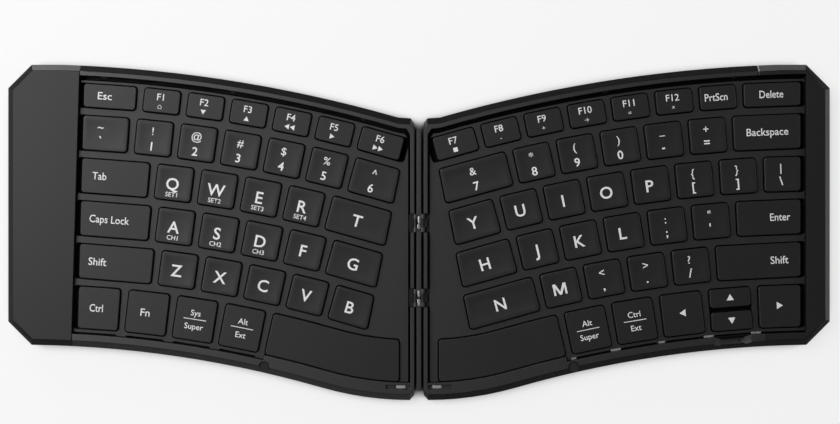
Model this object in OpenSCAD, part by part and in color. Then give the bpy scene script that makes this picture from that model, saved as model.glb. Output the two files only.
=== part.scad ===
// Folding keyboard in two halves, opened flat.
// The halves are mirror images in plan. Both are drawn on the +X side, and the left one is mirrored.
// The origin lies on the desk, under the middle of the opened keyboard. +X runs along it, +Y to its back.
// The keys fan out in rows on arcs that share one centre per half, in front of the keyboard.

/* [Overall] */
// Reach of one half, from the centre line to its outer edge
half_width = 170; // [168:0.5:173]
// Height of the rim above the desk
rim_top = 8.6; // [8.6:0.1:9.4]
// How far the rubber feet stand below the case
foot_proud = 0.8; // [0.6:0.1:1]
// Length cut off along each side of the two outer corners
corner_cut = 9.7; // [7:0.1:11]

/* [Plan curves] */
// Distance from the centre line to the centre of the key fan
fan_x = 166.1; // [165.6:0.1:166.6]
// Distance of the fan centre in front of the origin
fan_y = 501.7; // [501.3:0.1:502]
// Radius of the long back edge
back_r = 571.4; // [571.2:0.1:571.8]
// Radius of the hollow front edge
front_r = 455.2; // [454.8:0.1:455.4]
// Radius of the full curve that ends the front edge beside the hinge
sweep_r = 132; // [130:0.5:134]
// Distance from the centre line to the centre of that full curve
sweep_x = 3.7; // [3.4:0.1:4]

/* [Case] */
// Width of the slope around the top of the rim
slope_w = 2.6; // [2:0.1:3]
// Width of the back rail
back_rail = 4.3; // [4.1:0.1:4.5]
// Width of the front rail
front_rail = 5.3; // [5:0.1:5.5]
// Distance from the centre line to the inside of the right end wall
end_wall_x = 159.7; // [159.2:0.1:160]
// Thickness of the case floor
floor_t = 1; // [0.9:0.1:1.1]
// Thickness of the outer walls of the bottom case
wall_t = 1.6; // [1.4:0.1:1.8]
// Height of the joint line between the bottom case and the rim
split_z = 4.4; // [4.2:0.1:4.6]
// Depth of the key frame's top below the rim
frame_sunk = 1.9; // [1.7:0.1:2]

/* [Keys] */
// Width of a letter key's cap
cap_w = 14.8; // [14.4:0.1:15]
// Space between the caps in a row
key_gap = 3.35; // [3.2:0.05:3.6]
// Space between the rows
row_gap = 3.55; // [3.4:0.05:3.7]
// Radius of the back edge of the first row
first_row_r = 563.9; // [563.7:0.1:564.1]
// Room around each cap in its well
cap_clear = 0.45; // [0.35:0.05:0.5]
// How far the caps lie below the rim
cap_sunk = 0.7; // [0.5:0.1:0.9]
// Height of a cap's side
cap_side = 2.6; // [2.3:0.1:2.8]
// Radius of a cap's corners
cap_round = 1.2; // [0.8:0.1:1.5]

/* [Hinge] */
// Distance of each fold axis from the centre line
axis_x = 1.5; // [1.45:0.05:1.6]
// Depth of the fold axes below the rim
axis_sunk = 1.35; // [1.3:0.05:1.4]
// Distance from the centre line to each half's hinge face
hinge_face = 1.9; // [1.85:0.05:2]
// Radius of the steel hinge pins
pin_r = 0.5; // [0.45:0.05:0.5]

/* [Hidden] */
$fn = 48;
over = 0.1;
LEFT = -1;
RIGHT = 1;

// Heights, from the desk up
case_z = foot_proud;
floor_z = case_z + floor_t;
plate_z = floor_z + 0.6;
plate_t = 0.5;
membrane_t = 0.25;
deck_z = plate_z + plate_t + membrane_t;
frame_top = rim_top - frame_sunk;
cap_top = rim_top - cap_sunk;
cap_under = cap_top - 1;
axis_z = rim_top - axis_sunk;
cover_under = rim_top - 1.4;

// Plan: the full front curve touches the hollow one, and the back edge is cut level to match it
sweep_y = -fan_y + sqrt(pow(front_r + sweep_r, 2) - pow(fan_x - sweep_x, 2));
meet = atan2(sweep_y + fan_y, sweep_x - fan_x);
back_y = sweep_r - sweep_y;
nub_x = 8.6;
hinge_cut = 1.9;
foot_edge = 0.8;
form_spare = 0.3;
seam_gap = 0.16;

// Key rows, from the back one to the front one
row_depth = [9.6, 14.1, 14.1, 14.1, 14.1, 17.2];
space_row = 5;
space_end_x = 8.2;
one = cap_w;
// Cap widths from the outer end of each row to the hinge
left_rows = [
    [21.5, one, one, one, one, one, 17.7],
    [18.6, one, one, one, one, one, 18.9],
    [27.5, one, one, one, one, 25.2],
    [28.4, one, one, one, one, 21],
    [30.1, one, one, one, one, 16.2],
    [16.8, 16.7, 16.4, 16.4]
];
right_rows = [
    [23.3, one, one, one, one, one, one, 17.4],
    [27.5, one, one, one, one, one, 28.2],
    [one, one, one, one, one, one, one, 18.7],
    [26.1, one, one, one, one, one, 22.6],
    [34.4, one, one, one, one, 29.4],
    [17, 16.7, 16.7, 16.3, 16.3]
];
arrow_pair = 1;
arrow_gap = 1.9;
right_start = 8.7;
left_start = 25.5;
left_start_grow = 0.026;
right_lean = 0;
left_lean = 1.5;
hinge_lean = 11.5;
back_groove = 1.8;
front_groove = 0.8;
tab_over = 0.4;
frame_gap = 0.2;
ledge_gap = 0.35;
hinge_wall = 1.7;
hinge_groove = 0.8;
corner_steps = 4;

// Thumb scoop in the right front rail
scoop_angle = 94.6;
scoop_in = 3.1;
scoop_r = 2.4;
scoop_rise = 0.9;
scoop_end_r = 20;
scoop_end_rise = 18.2;

// Pocket at the hinge end of each front rail, with a round end beside the hinge
pocket_x = [4.8, 13.6];
pocket_y = -63.9;
pocket_r = 1.1;
pocket_depth = 1.2;

// Hinge stations along the spine
spine_back = 42.2;
spine_front = -65.3;
station_span = 15.45;
station_mid = (spine_back + spine_front) / 2;
stations = [station_mid - station_span, station_mid + station_span];
station_half = 3.6;
leaf_half = 1.7;
knuckle_r = 0.95;
knuckle_y = 2.75;
knuckle_half = 0.85;
pin_play = 0.05;
leaf_z = axis_z - 2.15;
leaf_t = 0.7;
leaf_reach = 10;
leaf_screw_x = 7.6;
leaf_screw_y = 2.2;
leaf_screw_r = 0.6;
leaf_boss_r = 1.4;

// Fixings
screw_r = 0.7;
head_r = 1.4;
head_h = 0.8;
screw_hole = 2.8;
boss_r = 2;
rail_inset = 2.75;
front_inset = 3.3;
end_screw_x = 164.3;
magnet_r = 2.4;
magnet_h = 2;
magnet_x = 164;
magnet_y = [22, -22];
magnet_z = rim_top - 1 - magnet_h;
foot_r = 3.6;
foot_sunk = 0.4;
bumper_angle = 102.9;
bumper_in = 2.7;
bumper_r = 2.1;
bumper_sunk = 0.6;
bumper_z = rim_top - 2.2;

// Electronics in the left end, placed on the +X side and mirrored
seam_x0 = 141.9;
seam_lean = 0.03;
socket_y = 33;
socket_w = 9;
socket_h = 3.2;
board_t = 0.6;
switch_y = 49.5;
switch_travel = 2;
switch_z = 4;
knob = [1.5, 0.8];
knob_foot = [2.5, 1.2];
battery_at = [145.4, -37];
battery_size = [14.6, 51, 4.8];
board_at = [145.6, 17];
board_size = [22.4, 37.5];
chips = [[149, 36, 6, 6, 0.9], [149, 24, 3.6, 4, 0.8], [157, 46, 3.2, 1.6, 0.7]];

// Plan geometry
function on_circle(cx, cy, r, a) = [cx + r * cos(a), cy + r * sin(a)];
function arc(cx, cy, r, a0, a1, first, n) =
    [for (i = [first:n]) on_circle(cx, cy, r, a0 + (a1 - a0) * i / n)];
function sum_to(list, n) = n <= 0 ? 0 : list[n - 1] + sum_to(list, n - 1);
function reversed(pts) = [for (i = [len(pts) - 1:-1:0]) pts[i]];
function seam_x(y) = seam_x0 - seam_lean * y;

// The front edge, moved back by f, from x0 beside the hinge to the angle a1 at the fan centre
function front_curve(f, x0, a1, n_full, n_hollow) = concat(
    arc(sweep_x, sweep_y, sweep_r - f,
        270 + asin(max(0, x0 - sweep_x) / (sweep_r - f)), meet + 180, 0, n_full),
    arc(fan_x, -fan_y, front_r + f, meet, a1, 1, n_hollow)
);

// The back edge, moved forward by b, from the angle a0 at the fan centre to x1 beside the hinge
function back_curve(b, a0, x1) =
    arc(fan_x, -fan_y, back_r - b, a0, acos((x1 - fan_x) / (back_r - b)), 0, 15);

function hinge_back_corner(xh, b) =
    let (y = -fan_y + sqrt(pow(back_r - b, 2) - pow(fan_x - nub_x, 2)) - 0.35)
    [[xh + 1.5, y], [xh, y - 2.3]];

// One half's outline, drawn in by i all round but at the hinge face, which moves by h
function half_outline(i, h = 0) =
    let (
        xo = half_width - i,
        xh = hinge_face + h,
        c = corner_cut - 0.586 * i,
        af = acos((xo - c - fan_x) / (front_r + i)),
        yf = -fan_y + (front_r + i) * sin(af),
        yb = back_y - i,
        ab = 180 - asin((yb + fan_y) / (back_r - i))
    )
    concat(
        [[xh, sweep_y - sweep_r + i + 2.3]],
        front_curve(i, xh + hinge_cut, af, 6, 14),
        [[xo, yf + c], [xo, yb - c], [xo - c, yb]],
        back_curve(i, ab, nub_x),
        hinge_back_corner(xh, i)
    );

// The key well's outline: b, f and h are its distances from the back, front and hinge faces
function well_outline(side, b, f, h, edge) =
    let (
        xf = (side == LEFT ? seam_x(-45) : end_wall_x) - edge,
        xb = (side == LEFT ? seam_x(64) : end_wall_x) - edge,
        xh = hinge_face + h
    )
    concat(
        [[xh, sweep_y - sweep_r + f + 1]],
        front_curve(f, xh + 1, acos((xf - fan_x) / (front_r + f)), 6, 14),
        back_curve(b, acos((xb - fan_x) / (back_r - b)), nub_x),
        hinge_back_corner(xh, b)
    );

// Outline helpers
function unit(v) = v / norm(v);
function outward(a, b) = unit([b.y - a.y, a.x - b.x]);
function grow(pts, g) =
    let (n = len(pts))
    [for (i = [0:n - 1])
        let (
            p = outward(pts[(i + n - 1) % n], pts[i]),
            q = outward(pts[i], pts[(i + 1) % n])
        )
        pts[i] + (p + q) * g / (1 + p * q)];
function fillet(a, b, c, r, n) =
    let (
        u = unit(a - b),
        v = unit(c - b),
        half = acos(u * v) / 2,
        centre = b + unit(u + v) * r / sin(half),
        p = b + u * r / tan(half) - centre,
        q = b + v * r / tan(half) - centre,
        a0 = atan2(p.y, p.x),
        turn = (atan2(q.y, q.x) - a0 + 540) % 360 - 180
    )
    [for (i = [0:n]) on_circle(centre.x, centre.y, r, a0 + turn * i / n)];
function round_corners(pts, r) =
    let (n = len(pts))
    [for (i = [0:n - 1])
        let (
            a = pts[(i + n - 1) % n],
            b = pts[i],
            c = pts[(i + 1) % n],
            bend = unit(b - a) * unit(c - b)
        )
        each bend > 0.9 ? [b] : fillet(a, b, c, r, corner_steps)];

// Key layout
function row_back(row) = first_row_r - sum_to(row_depth, row) - row * row_gap;
function row_front(row) = row_back(row) - row_depth[row];
function row_mid(row) = (row_back(row) + row_front(row)) / 2;
function rows(side) = side == LEFT ? left_rows : right_rows;
function fan_angle(s, row) = s / row_mid(row) * 180 / PI;
function row_start(side, row) =
    side == LEFT
        ? left_start + left_start_grow * (row_mid(row) - row_mid(space_row))
        : right_start;
function cap_start(side, row, i) =
    row_start(side, row) + sum_to(rows(side)[row], i) + i * key_gap;
function cap_end(side, row, i) = cap_start(side, row, i) + rows(side)[row][i];
function last_in(side, row) = len(rows(side)[row]) - 1;

// A point s along a row's middle arc, carried to radius r along a line that leans from straight back
function cap_corner(row, s, lean, r) =
    let (t = fan_angle(s, row), step = (r - row_mid(row)) / cos(t - lean))
    [fan_x - row_mid(row) * sin(t) - step * sin(lean), -fan_y + row_mid(row) * cos(t) + step * cos(lean)];
function outer_lean(side, row, i) =
    i > 0 ? fan_angle(cap_start(side, row, i) + cap_w / 2, row)
    : side == LEFT ? left_lean
    : right_lean;
function inner_lean(side, row, i) =
    i < last_in(side, row) || row == space_row ? fan_angle(cap_end(side, row, i) - cap_w / 2, row)
    : row == 0 ? hinge_lean + 3
    : hinge_lean;
function cap_quad(side, row, i, far = 0, near = 0) =
    let (
        s0 = cap_start(side, row, i) - far,
        s1 = cap_end(side, row, i) + near,
        l0 = outer_lean(side, row, i),
        l1 = inner_lean(side, row, i),
        rb = row_back(row),
        rf = row_front(row)
    )
    [cap_corner(row, s1, l1, rf), cap_corner(row, s0, l0, rf),
     cap_corner(row, s0, l0, rb), cap_corner(row, s1, l1, rb)];
function centre_of(quad) = (quad[0] + quad[1] + quad[2] + quad[3]) / 4;

// Direction of the space bar's outer end from the fan centre, at the radius r
function space_end(side, r) =
    let (
        s = cap_end(side, space_row, last_in(side, space_row)) + key_gap,
        p = cap_corner(space_row, s, fan_angle(s, space_row), r)
    )
    atan2(p.y + fan_y, p.x - fan_x);
function space_outline(side) =
    let (rf = row_front(space_row), rb = row_back(space_row))
    concat(
        front_curve(rf - front_r, space_end_x, space_end(side, rf), 10, 3),
        reversed(front_curve(rb - front_r, space_end_x, space_end(side, rb), 5, 2))
    );

// The front rail's wider part along the space bar, which it meets with a fine gap
function ledge_outline(side) =
    let (rf = row_front(space_row), x0 = hinge_face + hinge_wall / 2)
    concat(
        front_curve(front_rail - 1, x0, space_end(side, rf), 10, 3),
        reversed(front_curve(rf - front_r - ledge_gap, x0, space_end(side, rf), 10, 3))
    );

// Solid helpers
module slab(pts, z0, z1) {
    translate([0, 0, z0]) linear_extrude(z1 - z0) polygon(pts);
}

module block(lo, hi) {
    translate(lo) cube(hi - lo);
}

module post(x, y, r, z0, z1) {
    translate([x, y, z0]) cylinder(r = r, h = z1 - z0);
}

module rod_y(x, z, r, y0, y1) {
    translate([x, y0, z]) rotate([-90, 0, 0]) cylinder(r = r, h = y1 - y0);
}

module left_side() {
    mirror([1, 0, 0]) children();
}

// The outer form of one half, with its sloped rim and its small lower edge. It runs on a little above
// and below, and the parts made from it are cut off flat.
module half_form() {
    profile = [
        [case_z - form_spare, foot_edge + form_spare],
        [case_z + foot_edge, 0],
        [rim_top - slope_w, 0],
        [rim_top + form_spare, slope_w + form_spare]
    ];
    n = len(half_outline(0));
    rings = [for (p = profile) [for (q = half_outline(p[1])) [q.x, q.y, p[0]]]];
    sides = [for (k = [0:len(profile) - 2], i = [0:n - 1])
        let (j = (i + 1) % n)
        [k * n + i, (k + 1) * n + i, (k + 1) * n + j, k * n + j]];
    polyhedron(
        [for (ring = rings) each ring],
        concat([[for (i = [0:n - 1]) i]], sides,
            [[for (i = [n - 1:-1:0]) (len(profile) - 1) * n + i]])
    );
}

module seam_side(outer) {
    g = (outer ? 1 : -1) * seam_gap / 2;
    far = outer ? half_width + 10 : -10;
    y0 = 2 * back_y;
    slab([[far, -y0], [seam_x(-y0) + g, -y0], [seam_x(y0) + g, y0], [far, y0]], split_z, rim_top);
}

// Screw places: rail ones are shared, the end ones differ between the halves
rail_screws = [
    for (a = [93.6, 99, 104.6]) on_circle(fan_x, -fan_y, back_r - rail_inset, a),
    for (a = [94.2, 100.4]) on_circle(fan_x, -fan_y, front_r + front_inset, a),
    on_circle(sweep_x, sweep_y, sweep_r - front_inset, 276)
];
right_end_screws = [[end_screw_x, 58], [end_screw_x, 4], [end_screw_x, -36.5]];
left_end_screws = [[end_screw_x, 58], [end_screw_x, 4], [end_screw_x, -36.5], [147.2, 59], [148.6, -41]];
leaf_screws = [for (y = stations, s = [-1, 1]) [leaf_screw_x, y + s * leaf_screw_y]];
function end_screws(side) = side == LEFT ? left_end_screws : right_end_screws;
function case_screws(side) = concat(rail_screws, end_screws(side));
foot_places = [[22, 36], [22, -52], [150, 54], [152, -33]];
bumper_at = on_circle(fan_x, -fan_y, front_r + bumper_in, bumper_angle);

// Bottom case: floor, low outer wall and the posts that the screws pass through
module bottom_case(side) {
    difference() {
        union() {
            difference() {
                intersection() {
                    half_form();
                    block([-1, -2 * back_y, case_z], [half_width + 1, 2 * back_y, split_z]);
                }
                slab(half_outline(wall_t, hinge_wall - 0.2), floor_z, split_z + over);
            }
            for (p = case_screws(side)) post(p.x, p.y, boss_r, floor_z - over, split_z);
            for (p = leaf_screws) post(p.x, p.y, leaf_boss_r, floor_z - over, leaf_z);
        }
        for (p = case_screws(side)) {
            post(p.x, p.y, screw_r + 0.15, case_z - over, split_z + over);
            post(p.x, p.y, head_r + 0.1, case_z - over, case_z + head_h);
        }
        for (p = leaf_screws) post(p.x, p.y, leaf_screw_r, floor_z + 0.6, leaf_z + over);
        for (p = foot_places) post(p.x, p.y, foot_r + 0.1, case_z - over, case_z + foot_sunk);
        if (side == LEFT) {
            socket_hole();
            switch_hole();
        }
    }
}

// Rim rail: the curved back and front rails, joined along the hinge
module rim_rail(side) {
    difference() {
        intersection() {
            half_form();
            seam_side(false);
        }
        difference() {
            slab(well_outline(side, back_rail, front_rail, hinge_wall, side == LEFT ? -2 : 0),
                split_z - over, rim_top + over);
            slab(ledge_outline(side), split_z - 2 * over, rim_top + 2 * over);
        }
        for (y = stations)
            block([hinge_face - 1, y - station_half - 0.3, leaf_z - 0.1],
                [hinge_face + hinge_wall + 1, y + station_half + 0.3, rim_top + over]);
        for (p = rail_screws) post(p.x, p.y, screw_r, split_z - over, split_z + screw_hole);
        corner_pocket();
        post(bumper_at.x, bumper_at.y, bumper_r + 0.1, bumper_z, rim_top + over);
        if (side == RIGHT) thumb_scoop();
    }
}

module corner_pocket() {
    z = rim_top - pocket_depth;
    post(pocket_x[0], pocket_y, pocket_r, z, rim_top + over);
    block([pocket_x[0], pocket_y - 0.6, z], [pocket_x[1], pocket_y + 1, rim_top + over]);
}

// An oval hollow along the rail, where a thumb opens the folded keyboard
module thumb_scoop() {
    p = on_circle(fan_x, -fan_y, front_r + scoop_in, scoop_angle);
    translate([p.x, p.y, rim_top]) rotate(scoop_angle - 90) intersection() {
        translate([-scoop_end_r, 0, scoop_rise]) rotate([0, 90, 0])
            cylinder(r = scoop_r, h = 2 * scoop_end_r);
        translate([0, 0, scoop_end_rise]) sphere(r = scoop_end_r);
    }
}

// Right end cap: a C-shaped end with the right end wall
module end_cap() {
    difference() {
        intersection() {
            half_form();
            seam_side(true);
        }
        slab(well_outline(RIGHT, back_rail, front_rail, hinge_wall, 0), split_z - over, rim_top + over);
        for (p = right_end_screws) post(p.x, p.y, screw_r, split_z - over, split_z + screw_hole);
        for (y = magnet_y) post(magnet_x, y, magnet_r, split_z - over, magnet_z + magnet_h);
    }
}

// Left end cover: the lid over the battery and the board
module end_cover() {
    difference() {
        union() {
            difference() {
                intersection() {
                    half_form();
                    seam_side(true);
                }
                intersection() {
                    slab(half_outline(slope_w + 0.8), split_z - over, cover_under);
                    translate([1.4, 0, 0]) seam_side(true);
                }
            }
            for (p = left_end_screws) post(p.x, p.y, boss_r, split_z, cover_under + over);
            for (y = magnet_y) post(magnet_x, y, magnet_r + 0.9, magnet_z, cover_under + over);
        }
        for (p = left_end_screws) post(p.x, p.y, screw_r, split_z - over, cover_under - 0.2);
        for (y = magnet_y) post(magnet_x, y, magnet_r, magnet_z - over, magnet_z + magnet_h);
        socket_hole();
        switch_hole();
    }
}

module socket_hole() {
    block([half_width - 8, socket_y - socket_w / 2 - 0.1, floor_z + board_t - 0.05],
        [half_width + 1, socket_y + socket_w / 2 + 0.1, floor_z + board_t + socket_h + 0.1]);
}

module switch_hole() {
    slot_room = 0.1;
    foot_room = 0.2;
    block([half_width - 4, switch_y - switch_travel - knob.x - slot_room, switch_z - knob.y - slot_room],
        [half_width + 1, switch_y + knob.x + slot_room, switch_z + knob.y + slot_room]);
    block([half_width - 4, switch_y - switch_travel - knob_foot.x - foot_room,
            switch_z - knob_foot.y - 0.1],
        [half_width - wall_t + 0.2, switch_y + knob_foot.x + foot_room, switch_z + knob_foot.y + 0.1]);
}

// Key frame: the deck between the keys, with one well for each key and slots along its front
module key_frame(side) {
    difference() {
        slab(well_outline(side, back_rail + back_groove, front_rail + frame_gap,
            hinge_wall + hinge_groove, frame_gap), deck_z, frame_top);
        for (row = [0:space_row], i = [0:last_in(side, row)])
            slab(round_corners(grow(well_quad(side, row, i), cap_clear), cap_round + cap_clear),
                deck_z - over, frame_top + over);
        slab(round_corners(grow(space_outline(side), cap_clear), cap_round + cap_clear),
            deck_z - over, frame_top + over);
        for (i = [0:last_in(side, space_row)])
            slab(round_corners(slot_quad(side, i), tab_over), deck_z - over, frame_top + over);
        slab(grow(ledge_outline(side), frame_gap), deck_z - over, frame_top + over);
        leaf_cut(deck_z, leaf_z + leaf_t + 0.4 - deck_z);
    }
}

// A well is the cap's outline, opened just past the frame's edge at the row's ends
function well_quad(side, row, i) =
    cap_quad(side, row, i,
        far = i == 0 ? (side == LEFT ? 1.9 : 2.1) : 0,
        near = row == 0 && i == last_in(side, row) ? 2 : 0);

// The slot in front of a cap of the front row, which leaves a tab at each rib
function slot_quad(side, i) =
    let (
        s0 = cap_start(side, space_row, i) + (i > 0 ? tab_over : -4),
        s1 = cap_end(side, space_row, i) - tab_over,
        a0 = fan_angle(s0, space_row),
        a1 = fan_angle(s1, space_row),
        rb = front_r + front_rail + front_groove,
        rf = rb - 3
    )
    [cap_corner(space_row, s1, a1, rf), cap_corner(space_row, s0, a0, rf),
     cap_corner(space_row, s0, a0, rb), cap_corner(space_row, s1, a1, rb)];

// Steel plate under the keys
module support_plate(side) {
    difference() {
        intersection() {
            slab(half_outline(wall_t + 0.3, hinge_wall), plate_z, plate_z + plate_t);
            block([0, -2 * back_y, 0], [side == LEFT ? seam_x0 - 2.4 : half_width, 2 * back_y, rim_top]);
        }
        for (p = case_screws(side)) post(p.x, p.y, boss_r + 0.3, plate_z - over, plate_z + plate_t + over);
        leaf_cut(plate_z, plate_t);
    }
}

// Contact membrane on the plate
module membrane(side) {
    difference() {
        slab(well_outline(side, back_rail + 1.1, front_rail + 0.5, hinge_wall + 0.5,
            side == LEFT ? 2.6 : 1.2), plate_z + plate_t, deck_z);
        leaf_cut(plate_z + plate_t, membrane_t);
    }
}

// Room for the hinge leaves
module leaf_cut(z, t) {
    reach = station_half + 0.6;
    for (y = stations) block([0, y - reach, z - over], [leaf_reach + 0.6, y + reach, z + t + over]);
}

// One key switch: a rubber dome inside two crossed links
module key_switch(depth) {
    link_l = min(10, depth - 3);
    lean = asin(3 / link_l);
    mid = (deck_z + cap_under) / 2;
    dome_r = link_l / 2 - 1.3;
    translate([0, 0, deck_z]) cylinder(r1 = min(3.1, dome_r), r2 = 1.3, h = cap_under - deck_z - 0.1);
    for (k = [[11, 1], [8.6, -1]])
        translate([0, 0, mid]) rotate([k[1] * lean, 0, 0]) difference() {
            cube([k[0], link_l, 0.5], center = true);
            cube([k[0] - 1.8, link_l - 1.8, 1], center = true);
        }
}

module place_switch(quad, depth) {
    c = centre_of(quad);
    t = atan2(fan_x - c.x, c.y + fan_y);
    translate([c.x, c.y, 0]) rotate(t) key_switch(depth);
}

module key_switches(side) {
    for (row = [0:space_row], i = [0:last_in(side, row)])
        if (!(side == RIGHT && row == space_row && i == arrow_pair))
            place_switch(cap_quad(side, row, i), row_depth[row]);
    if (side == RIGHT) for (upper = [true, false]) place_switch(arrow_quad(upper), 8.4);
    o = space_outline(side);
    n = len(o);
    c = (o[4] + o[n - 3]) / 2;
    translate([c.x, c.y, 0]) rotate(14) key_switch(row_depth[space_row]);
}

// Key caps: hollow below, open at the bottom
module cap(pts) {
    difference() {
        slab(round_corners(pts, cap_round), cap_top - cap_side, cap_top);
        slab(grow(pts, -1), cap_top - cap_side - over, cap_under);
    }
}

function arrow_quad(upper) =
    let (
        q = cap_quad(RIGHT, space_row, arrow_pair),
        share = (1 - arrow_gap / row_depth[space_row]) / 2
    )
    upper
        ? [q[3] + (q[0] - q[3]) * share, q[2] + (q[1] - q[2]) * share, q[2], q[3]]
        : [q[0], q[1], q[1] + (q[2] - q[1]) * share, q[0] + (q[3] - q[0]) * share];

module keys(side, row, list) {
    for (i = list)
        if (side == RIGHT && row == space_row && i == arrow_pair)
            for (upper = [true, false]) cap(arrow_quad(upper));
        else cap(cap_quad(side, row, i));
}

module left_keys(row, list) {
    color([0.13, 0.13, 0.14]) left_side() keys(LEFT, row, list);
}

module right_keys(row, list) {
    color([0.13, 0.13, 0.14]) keys(RIGHT, row, list);
}

module space_bar(side) {
    cap(space_outline(side));
}

// Hinge: a spine with a steel pin on each side of it, and a leaf on each half
module knuckle(x, y, half, r) {
    rod_y(x, axis_z, r, y - half, y + half);
}

module hinge_spine() {
    low = axis_z - 1.3;
    high = axis_z + 0.25;
    difference() {
        union() {
            block([-1, spine_front, low], [1, spine_back, high]);
            for (y = stations, s = [-1, 1], x = [-axis_x, axis_x])
                knuckle(x, y + s * knuckle_y, knuckle_half, knuckle_r);
        }
        for (y = stations, s = [-1, 1]) {
            block([s > 0 ? 0.35 : -1.1, y - leaf_half - 0.2, low - over],
                [s > 0 ? 1.1 : -0.35, y + leaf_half + 0.2, high + over]);
            knuckle(s * axis_x, y, station_half + over, pin_r);
        }
    }
}

module hinge_pins() {
    for (y = stations, x = [-axis_x, axis_x]) knuckle(x, y, station_half, pin_r);
}

module hinge_leaves() {
    difference() {
        union() {
            for (y = stations) {
                knuckle(axis_x, y, leaf_half, knuckle_r);
                block([axis_x + 0.1, y - leaf_half, leaf_z],
                    [hinge_face + hinge_wall - 0.2, y + leaf_half, axis_z]);
                block([axis_x + 0.9, y - station_half, leaf_z],
                    [leaf_reach, y + station_half, leaf_z + leaf_t]);
            }
        }
        for (y = stations) knuckle(axis_x, y, leaf_half + over, pin_r + pin_play);
        for (y = stations, s = [-1, 1])
            knuckle(axis_x, y + s * knuckle_y, knuckle_half + 0.15, knuckle_r + 0.15);
        for (p = leaf_screws) post(p.x, p.y, leaf_screw_r + 0.1, leaf_z - over, leaf_z + leaf_t + over);
    }
}

// Small parts
module screws(side) {
    for (p = case_screws(side)) {
        post(p.x, p.y, screw_r, case_z + 0.1, split_z + screw_hole - 0.6);
        difference() {
            post(p.x, p.y, head_r, case_z + 0.1, case_z + head_h);
            post(p.x, p.y, 0.5, case_z, case_z + 0.5, $fn = 6);
        }
    }
    for (p = leaf_screws) {
        post(p.x, p.y, leaf_screw_r, floor_z + 0.8, leaf_z + leaf_t);
        post(p.x, p.y, leaf_screw_r + 0.5, leaf_z + leaf_t, leaf_z + leaf_t + 0.4);
    }
}

module magnets() {
    for (y = magnet_y) post(magnet_x, y, magnet_r, magnet_z, magnet_z + magnet_h);
}

// Feet below, and one bumper in the front rail, which keeps the closed halves apart
module feet() {
    for (p = foot_places) post(p.x, p.y, foot_r, 0, case_z + foot_sunk);
    post(bumper_at.x, bumper_at.y, bumper_r, bumper_z, rim_top - bumper_sunk);
}

module battery() {
    translate([battery_at.x, battery_at.y, floor_z + 0.1]) cube(battery_size);
}

module controller_board() {
    soldered = floor_z + board_t - 0.01;
    translate([board_at.x, board_at.y, floor_z]) cube([board_size.x, board_size.y, board_t]);
    for (c = chips) translate([c[0], c[1], soldered]) cube([c[2], c[3], c[4]]);
    block([half_width - 7.4, switch_y - 5, soldered], [half_width - 4, switch_y + 4, switch_z + 1]);
}

module charging_socket() {
    lo = [half_width - 7.3, socket_y - socket_w / 2, floor_z + board_t];
    hi = [half_width - 0.1, socket_y + socket_w / 2, floor_z + board_t + socket_h];
    difference() {
        block(lo, hi);
        block([lo.x + 1.2, lo.y + 0.3, lo.z + 0.3], [hi.x + 1, hi.y - 0.3, hi.z - 0.3]);
    }
    block([lo.x + 1, lo.y + 1.2, lo.z + 1.25], [hi.x - 1, hi.y - 1.2, lo.z + 1.95]);
}

module power_switch() {
    block([half_width - 2.2, switch_y - knob.x, switch_z - knob.y],
        [half_width + 0.15, switch_y + knob.x, switch_z + knob.y]);
    block([half_width - 3.4, switch_y - knob_foot.x, switch_z - knob_foot.y],
        [half_width - 2, switch_y + knob_foot.x, switch_z + knob_foot.y]);
}

shell = [0.16, 0.16, 0.17];
rim = [0.11, 0.11, 0.12];
deck = [0.2, 0.2, 0.21];
steel = [0.7, 0.7, 0.72];
black_steel = [0.25, 0.25, 0.26];
film = [0.15, 0.15, 0.15];
rubber = [0.08, 0.08, 0.08];

color(shell) left_side() bottom_case(LEFT);  // left_bottom_case
color(shell) bottom_case(RIGHT);  // right_bottom_case
color(rim) left_side() rim_rail(LEFT);  // left_rim_rail
color(rim) rim_rail(RIGHT);  // right_rim_rail
color(shell) left_side() end_cover();  // left_end_cover
color(rim) end_cap();  // right_end_cap
color(deck) left_side() key_frame(LEFT);  // left_key_frame
color(deck) key_frame(RIGHT);  // right_key_frame
color(black_steel) left_side() support_plate(LEFT);  // left_support_plate
color(black_steel) support_plate(RIGHT);  // right_support_plate
color(film) left_side() membrane(LEFT);  // left_membrane
color(film) membrane(RIGHT);  // right_membrane
color(rubber) left_side() key_switches(LEFT);  // left_key_switches
color(rubber) key_switches(RIGHT);  // right_key_switches
color("darkgreen") left_side() controller_board();
color("silver") left_side() battery();
color(steel) left_side() charging_socket();
color(rubber) left_side() power_switch();
color(rim) hinge_spine();
color(steel) hinge_pins();
color(black_steel) left_side() hinge_leaves();  // left_hinge_leaves
color(black_steel) hinge_leaves();  // right_hinge_leaves
color(steel) left_side() magnets();  // left_magnets
color(steel) magnets();  // right_magnets
color(rubber) left_side() feet();  // left_feet
color(rubber) feet();  // right_feet
color(steel) left_side() screws(LEFT);  // left_screws
color(steel) screws(RIGHT);  // right_screws
union() {  // left_top_keys
    left_keys(0, [0:6]);
    left_keys(1, [0:6]);
}
union() {  // right_top_keys
    right_keys(0, [0:7]);
    right_keys(1, [0:6]);
}
union() {  // left_modifier_keys
    for (row = [2:4]) left_keys(row, [0]);
    left_keys(space_row, [0:3]);
}
union() {  // right_edge_keys
    for (row = [2, 3]) right_keys(row, [0:2]);
    right_keys(4, [0:3]);
    right_keys(space_row, [0:4]);
}
color([0.13, 0.13, 0.14]) left_side() space_bar(LEFT);  // left_space_bar
color([0.13, 0.13, 0.14]) space_bar(RIGHT);  // right_space_bar
left_keys(2, [1]);  // key_q
left_keys(2, [2]);  // key_w
left_keys(2, [3]);  // key_e
left_keys(2, [4]);  // key_r
left_keys(2, [5]);  // key_t
left_keys(3, [1]);  // key_a
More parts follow.
